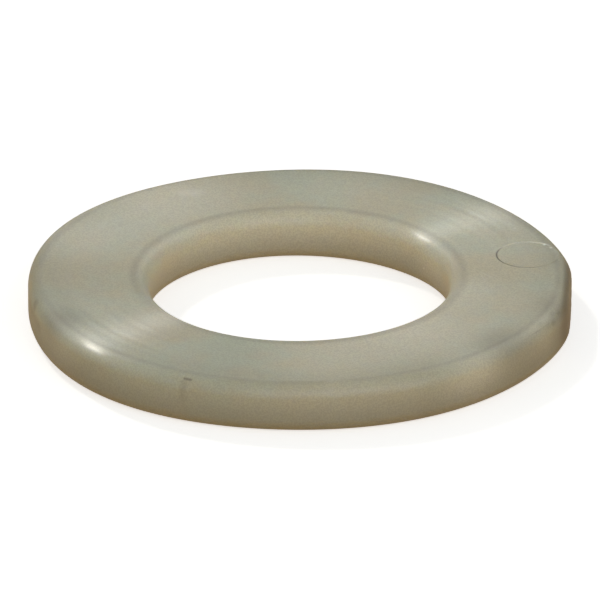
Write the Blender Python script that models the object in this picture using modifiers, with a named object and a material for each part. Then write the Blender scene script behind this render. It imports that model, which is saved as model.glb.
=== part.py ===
"""A plain flat washer, injection moulded in one piece from natural nylon, for an M12 bolt.

The frame: the origin is where the bore's axis meets the bottom face, +Z runs up the bore,
and +X points at the side where the moulding gate was trimmed off.
"""

import math

import bmesh
import bpy

MM = 0.001

# The washer itself.
OUTER_DIAMETER = 24.0 * MM
BORE_DIAMETER = 13.2 * MM
THICKNESS = 2.3 * MM
EDGE_RADIUS = 0.65 * MM

# The trimmed gate: where the plastic flowed in, the rim is a flat face instead of an arc. Its
# middle is nearly flush with the round rim, and its two ends stand a little proud. A shoulder
# runs from each end back into the round rim. The gate's edges are rounded as the ring's are,
# and a small step keeps its top and bottom off the ring's own faces.
GATE_FACE_WIDTH = 4.2 * MM
GATE_STAND_OUT = 0.04 * MM
GATE_FACE_STEP = 0.03 * MM
GATE_SHOULDER = math.radians(18)
GATE_ROOT_DEPTH = 2.1 * MM
SHOULDER_BURIED = 0.1 * MM

# The round mark that an ejector pin leaves in the top face, close to the rim.
PIN_DIAMETER = 2.8 * MM
PIN_RIM_GAP = 0.28 * MM
PIN_MARK_DEPTH = 0.06 * MM
PIN_ANGLE = math.radians(14.2)

# How finely the round shapes are cut.
TURN_STEPS = 96
EDGE_STEPS = 4
PIN_STEPS = 48
CUTTER_OVERRUN = 1.0 * MM
MERGE_DISTANCE = 0.00001
SMOOTH_UNDER = math.radians(35)

NATURAL_NYLON = (0.40, 0.385, 0.30, 1.0)
NYLON_ROUGHNESS = 0.42


def clear_scene():
    for obj in list(bpy.data.objects):
        bpy.data.objects.remove(obj, do_unlink=True)


def new_collection(name):
    collection = bpy.data.collections.new(name)
    bpy.context.scene.collection.children.link(collection)
    return collection


def new_object(name, mesh, collection):
    obj = bpy.data.objects.new(name, mesh)
    collection.objects.link(obj)
    return obj


def nylon_material():
    material = bpy.data.materials.new("natural_nylon")
    material.use_nodes = True
    shader = material.node_tree.nodes["Principled BSDF"]
    shader.inputs["Base Color"].default_value = NATURAL_NYLON
    shader.inputs["Roughness"].default_value = NYLON_ROUGHNESS
    shader.inputs["Metallic"].default_value = 0.0
    return material


def rounded_section():
    """The ring's section as (radius, height) points: out along the top, down the rim, up the bore."""
    rim = OUTER_DIAMETER / 2
    bore = BORE_DIAMETER / 2
    corners = (
        (rim - EDGE_RADIUS, THICKNESS - EDGE_RADIUS, 90),
        (rim - EDGE_RADIUS, EDGE_RADIUS, 0),
        (bore + EDGE_RADIUS, EDGE_RADIUS, -90),
        (bore + EDGE_RADIUS, THICKNESS - EDGE_RADIUS, -180),
    )
    points = []
    for radius, height, start in corners:
        for step in range(EDGE_STEPS + 1):
            turn = math.radians(start - 90 * step / EDGE_STEPS)
            points.append(
                (
                    radius + EDGE_RADIUS * math.cos(turn),
                    height + EDGE_RADIUS * math.sin(turn),
                )
            )
    return points


def turned_ring(name, collection):
    """The section swept round the bore's axis by a Screw modifier."""
    section = bmesh.new()
    ring = [section.verts.new((radius, 0.0, height)) for radius, height in rounded_section()]
    for start, end in zip(ring, ring[1:] + ring[:1]):
        section.edges.new((start, end))
    mesh = bpy.data.meshes.new(name)
    section.to_mesh(mesh)
    section.free()
    washer = new_object(name, mesh, collection)
    screw = washer.modifiers.new("turn", "SCREW")
    screw.axis = "Z"
    screw.angle = math.tau
    screw.steps = TURN_STEPS
    screw.render_steps = TURN_STEPS
    screw.use_merge_vertices = True
    screw.merge_threshold = MERGE_DISTANCE
    return washer


def at_angle(radius, angle):
    return radius * math.cos(angle), radius * math.sin(angle)


def gate_outline():
    """The pad seen from above: its flat face, a shoulder on each side, and a root inside the ring."""
    rim = OUTER_DIAMETER / 2
    half_face = GATE_FACE_WIDTH / 2
    return (
        (rim + GATE_STAND_OUT, -half_face),
        (rim + GATE_STAND_OUT, half_face),
        at_angle(rim - SHOULDER_BURIED, GATE_SHOULDER),
        at_angle(rim - GATE_ROOT_DEPTH, GATE_SHOULDER),
        at_angle(rim - GATE_ROOT_DEPTH, -GATE_SHOULDER),
        at_angle(rim - SHOULDER_BURIED, -GATE_SHOULDER),
    )


def gate_pad(collection):
    """The outline as a filled flat curve with thickness and rounded edges, made a mesh to be joined."""
    rounding = EDGE_RADIUS - GATE_FACE_STEP
    curve = bpy.data.curves.new("gate_pad", "CURVE")
    curve.dimensions = "2D"
    curve.fill_mode = "BOTH"
    curve.extrude = THICKNESS / 2 - GATE_FACE_STEP - rounding
    curve.bevel_depth = rounding
    curve.bevel_resolution = EDGE_STEPS - 1
    curve.offset = -rounding
    outline = gate_outline()
    spline = curve.splines.new("POLY")
    spline.points.add(len(outline) - 1)
    spline.use_cyclic_u = True
    for point, (x, y) in zip(spline.points, outline):
        point.co = (x, y, 0.0, 1.0)
    drawn = new_object("gate_outline", curve, collection)
    drawn.location.z = THICKNESS / 2
    bpy.context.view_layer.update()
    evaluated = drawn.evaluated_get(bpy.context.evaluated_depsgraph_get())
    mesh = bpy.data.meshes.new_from_object(evaluated)
    solid = bmesh.new()
    solid.from_mesh(mesh)
    bmesh.ops.remove_doubles(solid, verts=solid.verts, dist=MERGE_DISTANCE)
    bmesh.ops.recalc_face_normals(solid, faces=solid.faces)
    solid.to_mesh(mesh)
    solid.free()
    pad = new_object("gate_pad", mesh, collection)
    pad.matrix_world = drawn.matrix_world
    bpy.data.objects.remove(drawn, do_unlink=True)
    return pad


def pin_cutter(collection):
    """A short cylinder standing in the top face where the ejector pin pressed."""
    pin = bmesh.new()
    depth = PIN_MARK_DEPTH + CUTTER_OVERRUN
    bmesh.ops.create_cone(
        pin,
        cap_ends=True,
        segments=PIN_STEPS,
        radius1=PIN_DIAMETER / 2,
        radius2=PIN_DIAMETER / 2,
        depth=depth,
    )
    mesh = bpy.data.meshes.new("pin_cutter")
    pin.to_mesh(mesh)
    pin.free()
    cutter = new_object("pin_cutter", mesh, collection)
    reach = OUTER_DIAMETER / 2 - PIN_RIM_GAP - PIN_DIAMETER / 2
    cutter.location = (
        reach * math.cos(PIN_ANGLE),
        reach * math.sin(PIN_ANGLE),
        THICKNESS - PIN_MARK_DEPTH + depth / 2,
    )
    return cutter


def combine(piece, other, operation):
    other.hide_render = True
    other.display_type = "WIRE"
    boolean = piece.modifiers.new(other.name, "BOOLEAN")
    boolean.operation = operation
    boolean.solver = "EXACT"
    boolean.object = other


def apply_modifiers(piece):
    """Makes the modifiers' result the piece's own mesh, shaded smooth but for its true corners."""
    bpy.context.view_layer.update()
    evaluated = piece.evaluated_get(bpy.context.evaluated_depsgraph_get())
    mesh = bpy.data.meshes.new_from_object(evaluated)
    piece.modifiers.clear()
    piece.data = mesh
    mesh.shade_smooth()
    mesh.set_sharp_from_angle(angle=SMOOTH_UNDER)


def build():
    clear_scene()
    parts = new_collection("nylon_flat_washer")
    cutters = new_collection("cutters")
    washer = turned_ring("flat_washer", parts)
    combine(washer, gate_pad(cutters), "UNION")
    combine(washer, pin_cutter(cutters), "DIFFERENCE")
    apply_modifiers(washer)
    washer.data.materials.clear()
    washer.data.materials.append(nylon_material())


build()
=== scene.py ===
# %% [markdown]
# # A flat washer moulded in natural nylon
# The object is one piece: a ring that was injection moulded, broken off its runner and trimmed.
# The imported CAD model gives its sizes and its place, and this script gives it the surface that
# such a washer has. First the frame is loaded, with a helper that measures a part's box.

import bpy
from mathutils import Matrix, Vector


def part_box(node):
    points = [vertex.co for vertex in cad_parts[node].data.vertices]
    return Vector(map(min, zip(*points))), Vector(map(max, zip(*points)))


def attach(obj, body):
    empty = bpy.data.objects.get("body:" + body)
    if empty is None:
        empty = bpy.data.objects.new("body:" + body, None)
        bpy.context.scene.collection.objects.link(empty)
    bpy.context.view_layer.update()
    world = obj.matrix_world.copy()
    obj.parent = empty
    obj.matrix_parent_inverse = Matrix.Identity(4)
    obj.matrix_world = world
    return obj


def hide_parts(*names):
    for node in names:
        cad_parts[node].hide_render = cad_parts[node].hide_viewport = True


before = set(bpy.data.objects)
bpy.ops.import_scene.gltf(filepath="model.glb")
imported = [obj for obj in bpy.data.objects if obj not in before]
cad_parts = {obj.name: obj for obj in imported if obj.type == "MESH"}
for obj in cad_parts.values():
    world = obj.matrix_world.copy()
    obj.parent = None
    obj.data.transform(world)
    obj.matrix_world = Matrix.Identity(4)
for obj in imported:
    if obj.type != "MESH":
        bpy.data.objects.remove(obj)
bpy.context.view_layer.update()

# %% Libraries and units
import math

import bpy
import numpy as np
from mathutils import Vector, noise

MM = 0.001
CAD_NODE = "flat_washer"
cad_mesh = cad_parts[CAD_NODE].data

# %% [markdown]
# ## Sizes from the CAD ring
# A ring's section needs four numbers: the two radii, the thickness and the rounding of its
# edges. They could be typed in again, but then a change in the CAD model would be missed. Here
# they are measured on the CAD mesh, on the side away from the gate, which is at +X.

# %% Measure the ring
corners = np.array([vertex.co[:] for vertex in cad_mesh.vertices])
corner_radius = np.hypot(corners[:, 0], corners[:, 1])
corner_height = corners[:, 2]
low, high = (Vector(corner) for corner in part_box(CAD_NODE))

TINY = 0.0005 * MM
rim_radius = -low.x
bore_radius = corner_radius.min()
thickness = high.z - low.z
flat_top = corner_radius[(corner_height > high.z - TINY) & (corners[:, 0] < 0)]
edge_radius = flat_top.min() - bore_radius
print(f"rim {rim_radius / MM:.2f}, bore {bore_radius / MM:.2f}, thickness {thickness / MM:.2f},")
print(f"edge rounding {edge_radius / MM:.2f}, gate face {high.x / MM:.2f} mm from the axis")

# %% [markdown]
# ## What the moulding left behind
# Four things tell a moulded washer from a turned one. The gate is where the plastic came in: it
# was trimmed off, which left a broad flat with the ring's own rounding carried through it, and
# a torn surface. An ejector pin pushed the part out and left a round mark with a little flash
# round it. The mould was turned on a lathe, so its tool marks are copied as fine rings. And the
# knocks of bulk packing leave a nick or two on the rim. Each gets its own named size here, in
# metres. The lobes and the bulge are a least-squares fit to a washer's outline, rounded.

# %% Sizes of the moulding's marks
GATE_TRIM = 0.04 * MM
GATE_BULGE = 0.17 * MM
GATE_BULGE_TURN = math.radians(23.5)
GATE_CORNER_SOFTNESS = 0.10 * MM
GATE_HALF_SECTOR = math.radians(60)
GATE_TEAR_DEPTH = 0.035 * MM
GATE_TEAR_REACH = 0.25 * MM
GATE_TEAR_SIZE = 0.16 * MM
GATE_TEAR_STRETCH = np.array([1.0, 0.35, 1.0])
GATE_TEAR_MIDDLE = 0.4

PIN_ANGLE = math.radians(14.2)
PIN_RADIUS = 1.4 * MM
PIN_RIM_GAP = 0.28 * MM
PIN_SINK = 0.022 * MM
PIN_WALL_INSIDE = 0.03 * MM
PIN_WALL_OUTSIDE = 0.01 * MM
PIN_FLASH_HEIGHT = 0.007 * MM
PIN_FLASH_WIDTH = 0.05 * MM
PIN_FLASH_GAP = 0.03 * MM
PIN_FLASH_PATCH = 0.45 * MM
PIN_FLASH_MIDDLE = 0.45
PIN_FLASH_SPREAD = 1.1
PIN_FLASH_LEAST = 0.05
pin_reach = rim_radius - PIN_RIM_GAP - PIN_RADIUS
pin_centre = Vector((pin_reach * math.cos(PIN_ANGLE), pin_reach * math.sin(PIN_ANGLE), thickness))

RIM_LOBES = (
    # how many lobes, how far they stand out, where one of them points
    (4, 0.070 * MM, math.radians(56)),
    (5, 0.048 * MM, math.radians(7)),
)
BORE_LOBES = ((3, 0.042 * MM, math.radians(-9)),)

FLASH_ROOM = 0.02 * MM
face_height = thickness - FLASH_ROOM

NICKS = (
    # angle round the rim in degrees, height up the wall, width, depth
    (-112.5, 1.95 * MM, 0.16 * MM, 0.09 * MM),
    (176.0, 1.30 * MM, 0.20 * MM, 0.04 * MM),
)
print("pin mark centred at", [round(value / MM, 2) for value in pin_centre], "mm")

# %% [markdown]
# ## The outline seen from above
# A moulded ring is never quite round: it shrinks unevenly round the gate, which leaves shallow
# lobes. Each is a cosine, a few hundredths of a millimetre high, and where they meet the rim
# stands about a tenth off the true circle. At the gate the plastic bulges and was trimmed flat.
# The outline there is the nearer of the bulged ring and the flat, and a soft minimum rounds the
# corner between them a little, as a mould and a few years in a box do.

# %% Outline
def soft_min(a, b, softness):
    """The smaller of two values, with the corner where they cross rounded off."""
    return (a + b - np.sqrt((a - b) ** 2 + softness**2)) / 2


def lobed(radius, lobes, angle):
    """A radius with shallow cosine lobes round it."""
    return radius + sum(size * np.cos(number * (angle - turn)) for number, size, turn in lobes)


def rim_outline(angle):
    """Distance from the axis to the rim at each angle, given in radians from -pi to pi."""
    bulge = GATE_BULGE * np.exp(-((angle / GATE_BULGE_TURN) ** 2))
    bulged = lobed(rim_radius, RIM_LOBES, angle) + bulge
    near_gate = np.abs(angle) < GATE_HALF_SECTOR
    flat = (high.x - GATE_TRIM) / np.cos(np.where(near_gate, angle, 0.0))
    return np.where(near_gate, soft_min(bulged, flat, GATE_CORNER_SOFTNESS), bulged)


def smooth_step(value, start, end):
    """A share that goes smoothly from 0 at start to 1 at end."""
    share = np.clip((value - start) / (end - start), 0.0, 1.0)
    return share * share * (3 - 2 * share)


# %% [markdown]
# ## The ring as a swept section
# A Screw modifier would sweep one fixed section, but this section changes at the gate. So the
# section is worked out at each angle, and the mesh is a plain grid of quads between them. The
# angles and the points across the top face are closer together near the gate and the pin mark,
# where the detail is, and wider elsewhere, which keeps the mesh light.

# %% Stations round the ring and across the section
FINE_TURN = math.radians(0.25)
COARSE_TURN = math.radians(1.0)
FINE_SECTOR = (math.radians(-23), math.radians(24))

fine_angles = np.arange(FINE_SECTOR[0], FINE_SECTOR[1], FINE_TURN)
coarse_count = round((math.tau - (FINE_SECTOR[1] - FINE_SECTOR[0])) / COARSE_TURN)
coarse_angles = np.linspace(FINE_SECTOR[1], FINE_SECTOR[0] + math.tau, coarse_count, endpoint=False)
angles = np.concatenate([fine_angles, coarse_angles])
angles = np.where(angles > math.pi, angles - math.tau, angles)

TOP_SHARES = np.concatenate([np.linspace(0, 0.38, 12, endpoint=False), np.linspace(0.38, 1, 66)])
RIM_ARC_STEPS = 24
BORE_ARC_STEPS = 14
WALL_STEPS = 14
BOTTOM_STEPS = 26


def arc(centre_radius, centre_height, radius, start, steps):
    """Points of a quarter turn, clockwise from start degrees, without its first point."""
    turns = np.radians(start - 90 * np.arange(1, steps + 1) / steps)
    return (
        centre_radius + radius * np.cos(turns)[:, None],
        centre_height + radius * np.sin(turns)[:, None],
    )


def straight(start, end, steps):
    """Points from start to end, without the first, one row for each step."""
    share = np.arange(1, steps + 1)[:, None] / steps
    return start + (end - start) * share


one = np.ones_like(angles)
reach = rim_outline(angles)
bore_reach = lobed(bore_radius, BORE_LOBES, angles)
rim_flat = reach - edge_radius
bore_flat = bore_reach + edge_radius
rows_radius = [bore_flat + (rim_flat - bore_flat) * TOP_SHARES[:, None]]
rows_height = [face_height * np.ones_like(rows_radius[0])]


def add_rows(radius, height):
    """Adds rows of points; a radius or height that is the same all round is spread round the ring."""
    radius, height = np.broadcast_arrays(radius + 0 * one, height + 0 * one)
    rows_radius.append(radius)
    rows_height.append(height)


add_rows(*arc(rim_flat, face_height - edge_radius, edge_radius, 90, RIM_ARC_STEPS))
add_rows(reach, straight(face_height - edge_radius, edge_radius, WALL_STEPS))
add_rows(*arc(rim_flat, edge_radius, edge_radius, 0, BORE_ARC_STEPS))
add_rows(straight(rim_flat, bore_flat, BOTTOM_STEPS), 0.0)
add_rows(*arc(bore_flat, edge_radius, edge_radius, -90, BORE_ARC_STEPS))
add_rows(bore_reach, straight(edge_radius, face_height - edge_radius, WALL_STEPS))
add_rows(*arc(bore_flat, face_height - edge_radius, edge_radius, 180, BORE_ARC_STEPS))
grid_radius = np.concatenate(rows_radius)[:-1]
grid_height = np.concatenate(rows_height)[:-1]
print("grid:", grid_radius.shape[0], "points across the section,", len(angles), "round the ring")

# %% [markdown]
# ## Marks cut into the surface
# The grid is now moved by small real depths, so that the marks catch the light as they should.
# The pin's flat end makes a round floor a hair below the face, also where the rim's rounding
# has begun, and flash stands round it. The cut face of the gate is torn by the knife. Nicks are
# small pits. All of it stays inside the CAD model's box: the face lies a little below the top of
# the box, and the flash fills that room.

# %% Move the grid
def wander(points, size, seed):
    """Smooth random values, about -1 to 1, that change over the given size."""
    shift = Vector((seed * 17.3, seed * 5.1, seed * 11.7))
    return np.array([noise.noise(Vector(point) / size + shift) for point in points])


x = grid_radius * np.cos(angles)
y = grid_radius * np.sin(angles)
z = grid_height.copy()
places = np.stack([x.ravel(), y.ravel(), z.ravel()], axis=1)
on_top = grid_height > thickness / 2

from_pin = np.hypot(x - pin_centre.x, y - pin_centre.y)
pin_floor = face_height - PIN_SINK
pin_wall = smooth_step(from_pin, PIN_RADIUS - PIN_WALL_INSIDE, PIN_RADIUS + PIN_WALL_OUTSIDE)
inside_pin = on_top * (1 - pin_wall)
z = z + inside_pin * (pin_floor - z)

flash_patches = wander(places, PIN_FLASH_PATCH, 1).reshape(z.shape)
flash_share = PIN_FLASH_MIDDLE + PIN_FLASH_SPREAD * flash_patches
flash_height = PIN_FLASH_HEIGHT * np.clip(flash_share, PIN_FLASH_LEAST, 1.0)
flash = np.exp(-(((from_pin - PIN_RADIUS - PIN_FLASH_GAP) / PIN_FLASH_WIDTH) ** 2))
z = z + on_top * flash * flash_height

near_cut = np.clip(1 - (high.x - x) / GATE_TEAR_REACH, 0.0, 1.0)
tears = wander(places * GATE_TEAR_STRETCH, GATE_TEAR_SIZE, 2).reshape(z.shape)
x = x - near_cut * GATE_TEAR_DEPTH * np.clip(GATE_TEAR_MIDDLE + tears, 0.0, 1.0)

for degrees, height, width, depth in NICKS:
    turn = math.radians(degrees)
    centre = (rim_radius * math.cos(turn), rim_radius * math.sin(turn), height)
    away = np.sqrt((x - centre[0]) ** 2 + (y - centre[1]) ** 2 + (z - centre[2]) ** 2)
    pit = depth * np.exp(-((away / width) ** 2))
    x = x - pit * math.cos(turn)
    y = y - pit * math.sin(turn)
z = np.clip(z, 0.0, thickness)

# %% Build the mesh
SHARP_OVER = math.radians(50)

across, around = grid_radius.shape
count = across * around
index = np.arange(count).reshape(across, around)
next_across = np.roll(index, -1, axis=0)
next_around = np.roll(index, -1, axis=1)
next_both = np.roll(next_across, -1, axis=1)
quads = np.stack([index, next_across, next_both, next_around], axis=-1).reshape(-1, 4)

washer_mesh = bpy.data.meshes.new("moulded_washer")
vertices = np.stack([x.ravel(), y.ravel(), z.ravel()], axis=1)
washer_mesh.from_pydata(vertices.tolist(), [], quads.tolist())
washer_mesh.validate()
washer_mesh.shade_smooth()
washer_mesh.set_sharp_from_angle(angle=SHARP_OVER)
washer = bpy.data.objects.new("moulded_washer", washer_mesh)
bpy.context.scene.collection.objects.link(washer)

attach(washer, "root")
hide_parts(CAD_NODE)
print(len(washer_mesh.polygons), "quads in the moulded washer")

# %% [markdown]
# ## Colour and node helpers
# Colours are picked as sRGB hex values, which is how colour charts give them, and one function
# turns them into the linear numbers that shaders use. One more function adds a node, with its
# settings and its inputs, and gives the output that the next node takes. Every node in every
# material is added with it, so each material below reads as a list.

# %% Helpers
SMOOTH = {"interpolation_type": "SMOOTHSTEP"}
START, END, MOST = "From Min", "From Max", "To Max"
COLOUR_MIX = {"data_type": "RGBA"}
COLOUR_RESULT = 2
ADD, SUBTRACT, MULTIPLY, MAXIMUM, ABSOLUTE, SCALE, LENGTH, DISTANCE, DOT = (
    {"operation": name}
    for name in (
        "ADD",
        "SUBTRACT",
        "MULTIPLY",
        "MAXIMUM",
        "ABSOLUTE",
        "SCALE",
        "LENGTH",
        "DISTANCE",
        "DOT_PRODUCT",
    )
)


def linear(hex_colour, alpha=1.0):
    """An sRGB hex colour, such as "A7A593", as linear RGBA."""
    channels = [int(hex_colour[i : i + 2], 16) / 255 for i in (0, 2, 4)]
    return tuple(
        c / 12.92 if c <= 0.04045 else ((c + 0.055) / 1.055) ** 2.4 for c in channels
    ) + (alpha,)


def new_material(name):
    material = bpy.data.materials.new(name)
    material.use_nodes = True
    return material


def add(material, kind, settings, inputs, output=0):
    """Adds a node and gives one output. An input is a number, a colour, a vector or an output."""
    tree = material.node_tree
    node = tree.nodes.new("ShaderNode" + kind)
    for name, value in settings.items():
        setattr(node, name, value)
    for socket, value in inputs.items():
        if isinstance(value, bpy.types.NodeSocket):
            tree.links.new(value, node.inputs[socket])
        else:
            node.inputs[socket].default_value = value
    return node.outputs[output]


# %% [markdown]
# ## Natural nylon, injection moulded
# Undyed nylon 6/6 is an off-white that lets some light through, so its edges glow and its lower
# parts go warm and deep. Subsurface scattering gives part of that, and part is painted into the
# colour: paler towards the bore is painted light, for light that comes through the body there,
# and darker and browner low down is painted shade, for light that fades on its way down through
# the nylon. The colour also wanders in cool and warm clouds and is duller towards the rim. Pale
# and dull patches were then placed one by one, until the tone was right all round. They are
# partly the nylon's own tone and partly painted light and painted shade that these lights don't
# give, so they are soft, and they stay where they are on the washer. Each layer is a share from
# 0 to 1 of one more colour.

# %% Where a point is on the washer
NYLON_COOL = linear("D8DDC9")
NYLON_WARM = linear("DED8BE")
# a pale tone, also used as painted light near the bore and in the pale patches
NYLON_PALE_AND_PAINTED_LIGHT = linear("F2EFDC")
NYLON_DULL = linear("BDBFAD")
# a deep tone, used as painted shade low down
NYLON_PAINTED_LOW_SHADE = linear("9C9983")
# grime, also used as painted shade in the dull patches
GRIME_AND_PAINTED_SHADE = linear("5C4C3C")
# dust, also used as painted glints on the pin mark's flash
DUST_AND_GLINT = linear("FFFDF4")

top_mm = thickness / MM
face_mm = face_height / MM
bore_mm = bore_radius / MM
rim_mm = rim_radius / MM
gate_mm = high.x / MM

nylon = new_material("natural_nylon_moulded")
place = add(nylon, "TexCoord", {}, {}, "Object")
place_mm = add(nylon, "VectorMath", SCALE, {"Vector": place, "Scale": 1 / MM})
flat_place = add(nylon, "VectorMath", MULTIPLY, {0: place_mm, 1: (1, 1, 0)})
radius_mm = add(nylon, "VectorMath", LENGTH, {0: flat_place}, "Value")
height_mm = add(nylon, "SeparateXYZ", {}, {0: place_mm}, "Z")
towards_gate_mm = add(nylon, "SeparateXYZ", {}, {0: place_mm}, "X")


def on_washer(degrees, inside_rim, height):
    """A place in millimetres, from its angle, how far it is inside the rim, and its height."""
    turn = math.radians(degrees)
    radius = rim_mm - inside_rim
    return Vector((radius * math.cos(turn), radius * math.sin(turn), height))


def stroke(start, end, width, strength):
    """The share of a soft line from one place to another; a line of no length is a spot."""
    along = end - start
    step = tuple(along / max(along.length_squared, 1e-9))
    from_start = add(nylon, "VectorMath", SUBTRACT, {0: place_mm, 1: tuple(start)})
    dot = add(nylon, "VectorMath", DOT, {0: from_start, 1: step}, "Value")
    share = add(nylon, "Math", MULTIPLY | {"use_clamp": True}, {0: dot, 1: 1.0})
    nearest = add(nylon, "VectorMath", SCALE, {"Vector": tuple(along), "Scale": share})
    away = add(nylon, "VectorMath", DISTANCE, {0: from_start, 1: nearest}, "Value")
    return add(nylon, "MapRange", SMOOTH, {"Value": away, START: width, END: 0.0, MOST: strength})


def lay(colour, layers):
    """Lays colours over one another in order, each by its own share."""
    for share, above in layers:
        colour = add(nylon, "Mix", COLOUR_MIX, {0: share, 6: colour, 7: above}, COLOUR_RESULT)
    return colour


# %% [markdown]
# ## Patterns at real sizes
# Four cloudy noises draw the irregular things. The grain is as fine as the picture can show, and
# a moulding's true grain is finer still, so it is drawn coarser than it is.

# %% Patterns
PATTERN_SIZES = {
    # name: size in millimetres, detail
    "clouds": (4.0, 3.0),
    "face_end_patches": (2.5, 1.0),
    "scuffs": (1.6, 2.0),
    "grain": (0.07, 1.0),
}
PATTERN_ROUGHNESS = 0.6
patterns = {
    name: add(
        nylon,
        "TexNoise",
        {},
        {"Vector": place_mm, "Scale": 1 / size, "Detail": detail, "Roughness": PATTERN_ROUGHNESS},
    )
    for name, (size, detail) in PATTERN_SIZES.items()
}
print("patterns:", ", ".join(patterns))

# %% Body colour
# pale patches: partly the nylon's own tone, partly painted light
PALE_AND_PAINTED_LIGHT_PATCHES = (
    # angle, distance inside the rim, depth below the top, size, strength
    (128, 1.8, 0.0, 5.5, 0.90),
    (158, 1.0, 0.0, 4.5, 0.55),
    (-52, 4.6, 0.0, 4.6, 0.92),
    (-12, 5.0, 0.0, 3.0, 0.65),
    (-80, 3.4, 0.0, 4.2, 0.50),
    (78, 2.8, 0.0, 4.5, 0.35),
    (-48, 0.0, 1.2, 2.6, 0.60),
    (-150, 0.0, 1.5, 2.8, 0.35),
    (29, 5.4, 1.8, 2.0, 1.00),
    (130, 5.4, 2.1, 1.9, 0.30),
)
# dull patches: partly the nylon's own tone, partly painted shade
DULL_AND_PAINTED_SHADE_PATCHES = (
    (-36, 0.4, 0.0, 2.2, 0.24),
    (-153, 0.5, 0.0, 2.0, 0.30),
    (-172, 2.4, 0.0, 5.0, 0.08),
    (-108, 2.6, 0.0, 4.6, 0.08),
    (-138, 3.6, 0.0, 3.2, 0.16),
    (-30, 0.0, 1.8, 1.6, 0.12),
    (-14, -0.1, 1.1, 2.2, 0.45),
    (9, 0.0, 0.3, 1.6, 0.14),
)
BROAD_LAYERS = (
    # what it follows, where it starts, where it is full, its most, its colour
    (patterns["clouds"], 0.35, 0.65, 1.0, NYLON_WARM),
    (radius_mm, rim_mm - 2.6, rim_mm - 0.2, 0.50, NYLON_DULL),
    # paler towards the bore: painted light, for light that comes through the body there
    (radius_mm, bore_mm + 1.1, bore_mm, 0.40, NYLON_PALE_AND_PAINTED_LIGHT),
)
# darker and browner low down: painted shade, for light that fades on its way down
LOW_SHADE_FROM = 0.75 * top_mm
LOW_SHADE_FULL = 0.05 * top_mm
LOW_SHADE_MOST = 0.75

body_layers = [
    (add(nylon, "MapRange", SMOOTH, {"Value": value, START: start, END: end, MOST: most}), colour)
    for value, start, end, most, colour in BROAD_LAYERS
]
for patch_colour, patch_rows in ((NYLON_PALE_AND_PAINTED_LIGHT, PALE_AND_PAINTED_LIGHT_PATCHES), (GRIME_AND_PAINTED_SHADE, DULL_AND_PAINTED_SHADE_PATCHES)):
    for degrees, inside_rim, below_top, size, strength in patch_rows:
        middle = on_washer(degrees, inside_rim, top_mm - below_top)
        body_layers.append((stroke(middle, middle, size, strength), patch_colour))
# painted shade low down
low_shade_limits = {"Value": height_mm, START: LOW_SHADE_FROM, END: LOW_SHADE_FULL, MOST: LOW_SHADE_MOST}
body_layers.append((add(nylon, "MapRange", SMOOTH, low_shade_limits), NYLON_PAINTED_LOW_SHADE))
body_colour = lay(NYLON_COOL, body_layers)
print("body colour layers:", len(body_layers))

# %% [markdown]
# ## Grime, knocks, darker bands and glints
# A washer that has lain in a box isn't clean. Grime lies in a few scratches and smudges, and the
# colour is also darker where the flat face turns into its rounding, on one side of the step round
# the pin mark, and on the torn face of the gate. The scratches and smudges are soft lines between
# two places, and each place is an angle, how far it is inside the rim, and how far below the face,
# so the marks move with the washer's sizes. The gate's spots are spaced along its cut, and the
# nick's smudges hang from the nick. Bright specks are made the same way: dust, a pale streak,
# short scratches, and painted glints on the pin mark's flash.

# %% Grime and specks
NICK_TURN = NICKS[0][0]
GATE_SPOT_TURNS = (1, -3, -7)
MARKS = (
    # start and end as angle, distance inside the rim, depth below the face; width; strength
    # the line along the rounding beside the gate, and the smudges round it
    ((-27, 0.15, 0.2), (-21, 0.1, 0.25), 0.06, 0.4),
    ((-32, 0.2, 0.2), (-27, 0.15, 0.2), 0.06, 0.2),
    ((-24, 0.3, 0.1), (-23, 0.3, 0.1), 0.2, 0.15),
    ((-18, 0.25, 0.1), (-17, 0.25, 0.1), 0.2, 0.15),
    ((-16, 0.05, 0.2), (-15, 0.05, 0.2), 0.15, 0.25),
    ((-20, 0.0, 0.3), (-19, 0.0, 0.3), 0.2, 0.2),
    # a worn end, a smudge at the back and a scratch beside the bore
    ((-166, 0.2, 0.35), (-165, 0.15, 0.45), 0.4, 0.3),
    ((-170, 0.05, 0.7), (-160, 0.05, 0.9), 0.45, 0.2),
    ((128, 0.7, 0.0), (129, 0.5, 0.0), 0.2, 0.2),
    ((4, 4.9, 0.0), (2, 4.8, 0.0), 0.1, 0.25),
    # the nick, and the wall below it
    ((NICK_TURN, 0.2, 0.15), (NICK_TURN + 1.5, 0.2, 0.15), 0.1, 0.55),
    ((NICK_TURN, 0.1, 0.35), (NICK_TURN, 0.0, 1.0), 0.3, 0.15),
) + tuple(((turn, 0.2, 0.2), (turn - 1, 0.1, 0.35), 0.15, 0.7) for turn in GATE_SPOT_TURNS)
SPECKS_AND_GLINTS = (
    # as above, for marks lighter than the nylon: painted glints, dust, a pale streak and short
    # scratches
    # painted glints on the pin mark's flash
    ((19, 0.7, 0.0), (19, 0.7, 0.0), 0.12, 0.9),
    ((17, 0.5, 0.0), (17, 0.5, 0.0), 0.12, 0.9),
    # dust, a pale streak and short scratches
    ((35, 5.4, 1.3), (35, 5.4, 1.3), 0.08, 1.0),
    ((30, 1.2, 0.0), (30, 1.2, 0.0), 0.08, 0.5),
    ((120, 2.0, 0.0), (122, 1.8, 0.0), 0.7, 0.3),
    ((4, 4.0, 0.0), (0, 3.5, 0.0), 0.06, 0.2),
    ((2, 4.0, 0.0), (-2, 3.8, 0.0), 0.05, 0.2),
    ((-75, 3.0, 0.0), (-73, 2.4, 0.0), 0.05, 0.15),
    ((158, 3.0, 0.0), (161, 2.4, 0.0), 0.05, 0.15),
)



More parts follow.
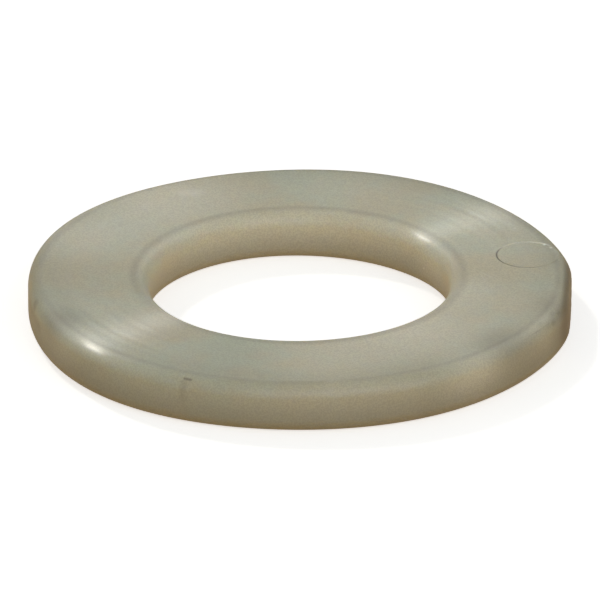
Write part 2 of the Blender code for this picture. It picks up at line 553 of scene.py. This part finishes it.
def line_share(start, end, width, strength):
    """A row of the marks or of the specks and glints as a stroke."""
    first, last = (
        on_washer(degrees, inside_rim, face_mm - below_face)
        for degrees, inside_rim, below_face in (start, end)
    )
    return stroke(first, last, width, strength)


# %% Where the dark marks lie
# the gate's torn cut face is darker
CUT_DARKENING = {START: gate_mm - 0.54, END: gate_mm - 0.19, MOST: 0.55}
FACE_END_PATCHINESS = {START: 0.0, END: 0.6}
RING_HEIGHTS = {START: top_mm - 0.5, END: top_mm - 0.2}
FACE_END_RINGS = (
    # radius, width, strength
    (bore_mm + 0.64, 0.38, 0.24),
    (rim_mm - 0.58, 0.28, 0.18),
)
PIN_ARC_TURN = math.radians(-135)
PIN_LINE_RADIUS = PIN_RADIUS / MM - 0.02
PIN_LINE = {START: 0.06, END: 0.0, MOST: 0.90}
PIN_LINE_SIDE = {START: 0.05, END: 0.80}
GRAIN = {START: 0.35, END: 0.65, MOST: 0.17}

dark_marks = [add(nylon, "MapRange", SMOOTH, {"Value": towards_gate_mm} | CUT_DARKENING)]
dark_marks += [line_share(*row) for row in MARKS]

# darker bands where the flat face ends, broken up by a patchy noise
face_end_patches = add(nylon, "MapRange", SMOOTH, {"Value": patterns["face_end_patches"]} | FACE_END_PATCHINESS)
near_face = add(nylon, "MapRange", SMOOTH, {"Value": height_mm} | RING_HEIGHTS)
face_end_patchiness = add(nylon, "Math", MULTIPLY, {0: face_end_patches, 1: near_face})
for radius, width, strength in FACE_END_RINGS:
    offset = add(nylon, "Math", SUBTRACT, {0: radius_mm, 1: radius})
    from_ring = add(nylon, "Math", ABSOLUTE, {0: offset})
    limits = {"Value": from_ring, START: width, END: 0.0, MOST: strength}
    ring_share = add(nylon, "MapRange", SMOOTH, limits)
    dark_marks.append(add(nylon, "Math", MULTIPLY, {0: ring_share, 1: face_end_patchiness}))

arc_side = (math.cos(PIN_ARC_TURN), math.sin(PIN_ARC_TURN), 0.0)
pin_offset = add(nylon, "VectorMath", SUBTRACT, {0: place_mm, 1: tuple(pin_centre / MM)})
from_pin_mm = add(nylon, "VectorMath", LENGTH, {0: pin_offset}, "Value")
pin_side = add(nylon, "VectorMath", DOT, {0: pin_offset, 1: arc_side}, "Value")
pin_step = add(nylon, "Math", SUBTRACT, {0: from_pin_mm, 1: PIN_LINE_RADIUS})
pin_edge = add(nylon, "Math", ABSOLUTE, {0: pin_step})
pin_line = add(nylon, "MapRange", SMOOTH, {"Value": pin_edge} | PIN_LINE)
pin_half = add(nylon, "MapRange", SMOOTH, {"Value": pin_side} | PIN_LINE_SIDE)
dark_marks.append(add(nylon, "Math", MULTIPLY, {0: pin_line, 1: pin_half}))

dark_mark_share = dark_marks[0]
for share in dark_marks[1:]:
    dark_mark_share = add(nylon, "Math", MAXIMUM, {0: dark_mark_share, 1: share})
grain_share = add(nylon, "MapRange", SMOOTH, {"Value": patterns["grain"]} | GRAIN)
mark_layers = [(dark_mark_share, GRIME_AND_PAINTED_SHADE), (grain_share, GRIME_AND_PAINTED_SHADE)]
mark_layers += [(line_share(*row), DUST_AND_GLINT) for row in SPECKS_AND_GLINTS]
marked_colour = lay(body_colour, mark_layers)
print("grime shares:", len(dark_marks), "and specks:", len(SPECKS_AND_GLINTS))

# %% [markdown]
# ## Surface finish
# The surface copies the mould: fine rings from the lathe, which spread a highlight across them
# and so draw soft bright spokes on the face. Anisotropy does this for rings that are too fine to
# see, and a bump for a coarser set, deepest along one diameter. Real rings are much closer than
# the 0.8 mm used here, which is what it takes to show. Scuffed patches are rougher and the
# rounded edges are smoother, so the spokes break up and the edges glint. Roughness stays at 0.30
# or more, because smoother spots come out of the denoiser as dark blots.

# %% Finish
NYLON_IOR = 1.53
NYLON_SPECULAR = 0.85
SCATTER_COLOURS = (1.0, 0.85, 0.55)
SCATTER_DEPTH = 1.5 * MM
RING_PITCH_MM = 0.8
RING_BUMP_HEIGHT = 0.07 * MM
DEEP_RING_TURN = math.radians(40)
DEEP_RING_BAND = {START: 4.5, END: 1.0, MOST: 0.8}
RING_DEPTH_LEAST = 0.2
EDGE_ROUGHNESS = 0.30
FACE_ROUGHNESS = {"From Min": 0.75, "From Max": 1.20, "To Min": 0.33, "To Max": 0.45}
FACE_EDGE = {START: top_mm - 0.14, END: top_mm - 0.04}

ring_inputs = {"W": radius_mm, "Scale": 1 / RING_PITCH_MM, "Detail": 1.0, "Roughness": 0.5}
rings = add(nylon, "TexNoise", {"noise_dimensions": "1D"}, ring_inputs)
scuffs = add(nylon, "Math", ADD, {0: patterns["scuffs"], 1: rings})
face_roughness = add(nylon, "MapRange", {}, {"Value": scuffs} | FACE_ROUGHNESS)
on_face = add(nylon, "MapRange", SMOOTH, {"Value": height_mm} | FACE_EDGE)
roughness_inputs = {0: on_face, 2: EDGE_ROUGHNESS, 3: face_roughness}
roughness = add(nylon, "Mix", {"data_type": "FLOAT"}, roughness_inputs)

across_diameter = (-math.sin(DEEP_RING_TURN), math.cos(DEEP_RING_TURN), 0.0)
diameter_side = add(nylon, "VectorMath", DOT, {0: place_mm, 1: across_diameter}, "Value")
from_diameter = add(nylon, "Math", ABSOLUTE, {0: diameter_side})
deep_share = add(nylon, "MapRange", SMOOTH, {"Value": from_diameter} | DEEP_RING_BAND)
ring_depth = add(nylon, "Math", ADD, {0: deep_share, 1: RING_DEPTH_LEAST})
ring_height = add(nylon, "Math", MULTIPLY, {0: rings, 1: ring_depth})
bump_inputs = {"Height": ring_height, "Strength": 1.0, "Distance": RING_BUMP_HEIGHT}
ring_bump = add(nylon, "Bump", {}, bump_inputs, "Normal")
ring_direction = add(nylon, "Tangent", {"direction_type": "RADIAL", "axis": "Z"}, {})

nylon_shader = nylon.node_tree.nodes["Principled BSDF"]
nylon_shader.inputs["IOR"].default_value = NYLON_IOR
nylon_shader.inputs["Subsurface Weight"].default_value = 1.0
nylon_shader.inputs["Subsurface Radius"].default_value = SCATTER_COLOURS
nylon_shader.inputs["Subsurface Scale"].default_value = SCATTER_DEPTH
nylon_shader.inputs["Specular IOR Level"].default_value = NYLON_SPECULAR
nylon_shader.inputs["Anisotropic"].default_value = 1.0
nylon_shader.inputs["Anisotropic Rotation"].default_value = 0.25
nylon.node_tree.links.new(marked_colour, nylon_shader.inputs["Base Color"])
nylon.node_tree.links.new(roughness, nylon_shader.inputs["Roughness"])
nylon.node_tree.links.new(ring_bump, nylon_shader.inputs["Normal"])
nylon.node_tree.links.new(ring_direction, nylon_shader.inputs["Tangent"])
washer_mesh.materials.append(nylon)
print("nylon nodes:", len(nylon.node_tree.nodes))

# %% [markdown]
# ## The floor
# A pale matt sheet carries the washer. It is far wider than the washer, so that it fills every
# view from above. It glows a little, as a light table's sheet does, which keeps shadows faint.

# %% Floor
FLOOR_HALF = 1.5
FLOOR_GAP = 0.00001
PAPER_GLOW = 0.60

floor_mesh = bpy.data.meshes.new("studio_floor")
floor_corners = [(-1, -1), (1, -1), (1, 1), (-1, 1)]
floor_mesh.from_pydata(
    [(FLOOR_HALF * a, FLOOR_HALF * b, low.z - FLOOR_GAP) for a, b in floor_corners],
    [],
    [(0, 1, 2, 3)],
)
floor = bpy.data.objects.new("studio_floor", floor_mesh)
bpy.context.scene.collection.objects.link(floor)

paper = new_material("matt_white_paper")
paper_shader = paper.node_tree.nodes["Principled BSDF"]
paper_shader.inputs["Base Color"].default_value = linear("F2F2F0")
paper_shader.inputs["Roughness"].default_value = 0.9
paper_shader.inputs["Emission Color"].default_value = linear("FFFFFF")
paper_shader.inputs["Emission Strength"].default_value = PAPER_GLOW
floor_mesh.materials.append(paper)
floor.visible_diffuse = False
floor.visible_glossy = False

# %% [markdown]
# ## Light
# The room is a light tent: a soft band of light all round at middle height, dim above, and warm
# light thrown up from below, as a pale bench throws it. One large soft light almost straight in
# front and one at the front right lift the near side. A small one behind and to the left draws
# the bright spokes on the ringed face and the glints on the rounded edges. The strengths are a
# least-squares balance of renders lit by one light at a time, rounded, and the small light was
# then turned up.

# %% Lights
SOFTBOXES = (
    # name, azimuth and elevation in degrees, distance, diameter, power in watts, colour
    ("spoke_light", 128.7, 44.4, 0.6, 0.05, 0.65, "FFFAF0"),
    ("left_softbox", -90.0, 25.0, 0.7, 0.5, 0.5, "F4F8FF"),
    ("right_softbox", -55.0, 30.0, 0.7, 0.5, 0.6, "FFFFFF"),
)
TENT = "FAFAF8"
TENT_STRENGTH = 0.93
GROUND = "F0CFA0"
GROUND_STRENGTH = 0.5
GROUND_TOP = (-0.1, 0.05)
TENT_FOOT = (0.30, 0.50)
TENT_HEAD = (0.67, 0.85)


def from_angles(azimuth, elevation):
    """The direction towards a place in the room, from its angles in degrees."""
    turn, rise = math.radians(azimuth), math.radians(elevation)
    return Vector(
        (math.cos(turn) * math.cos(rise), math.sin(turn) * math.cos(rise), math.sin(rise))
    )


for name, azimuth, elevation, distance, diameter, power, colour in SOFTBOXES:
    direction = from_angles(azimuth, elevation)
    light_data = bpy.data.lights.new(name, "AREA")
    light_data.shape = "DISK"
    light_data.size = diameter
    light_data.energy = power
    light_data.color = linear(colour)[:3]
    light = bpy.data.objects.new(name, light_data)
    light.location = direction * distance
    light.rotation_euler = direction.to_track_quat("Z", "Y").to_euler()
    bpy.context.scene.collection.objects.link(light)

room = bpy.data.worlds.new("light_tent")
room.use_nodes = True
bpy.context.scene.world = room
room_direction = add(room, "TexCoord", {}, {}, "Generated")
room_height = add(room, "SeparateXYZ", {}, {0: room_direction}, "Z")


def glow(hex_colour, strength):
    """A colour of light at a strength, as linear RGBA."""
    return tuple(strength * channel for channel in linear(hex_colour))


room_colour = glow(GROUND, GROUND_STRENGTH)
for (start, end), above in (
    (GROUND_TOP, glow(TENT, 0.0)),
    (TENT_FOOT, glow(TENT, TENT_STRENGTH)),
    (TENT_HEAD, glow(TENT, 0.0)),
):
    share = add(room, "MapRange", SMOOTH, {"Value": room_height, START: start, END: end})
    room_colour = add(room, "Mix", COLOUR_MIX, {0: share, 6: room_colour, 7: above}, COLOUR_RESULT)
room.node_tree.links.new(room_colour, room.node_tree.nodes["Background"].inputs["Color"])
bpy.context.scene.view_settings.view_transform = "Standard"

# %% [markdown]
# ## Camera
# A long lens far away keeps the ring's ellipse nearly even from front to back. The camera looks
# down at about 24 degrees and aims a little above the bore's centre.

# %% Camera
CAMERA_AZIMUTH = math.radians(2.3)
CAMERA_ELEVATION = math.radians(24.2)
CAMERA_DISTANCE = 60 * rim_radius
VIEW_WIDTH = 2.2 * rim_radius
AIM_RIGHT = 0.0048 * rim_radius
AIM_UP = 0.0794 * rim_radius

towards_camera = Vector(
    (
        math.sin(CAMERA_AZIMUTH) * math.cos(CAMERA_ELEVATION),
        -math.cos(CAMERA_AZIMUTH) * math.cos(CAMERA_ELEVATION),
        math.sin(CAMERA_ELEVATION),
    )
)
turn_to_camera = towards_camera.to_track_quat("Z", "Y")
aim = turn_to_camera @ Vector((AIM_RIGHT, AIM_UP, 0.0))
camera_data = bpy.data.cameras.new("product_camera")
camera_data.sensor_width = 36.0
camera_data.angle = 2 * math.atan(VIEW_WIDTH / 2 / CAMERA_DISTANCE)
camera = bpy.data.objects.new("product_camera", camera_data)
camera.location = aim + towards_camera * CAMERA_DISTANCE
camera.rotation_euler = turn_to_camera.to_euler()
bpy.context.scene.collection.objects.link(camera)
bpy.context.scene.camera = camera
print("lens", round(camera_data.lens), "mm")
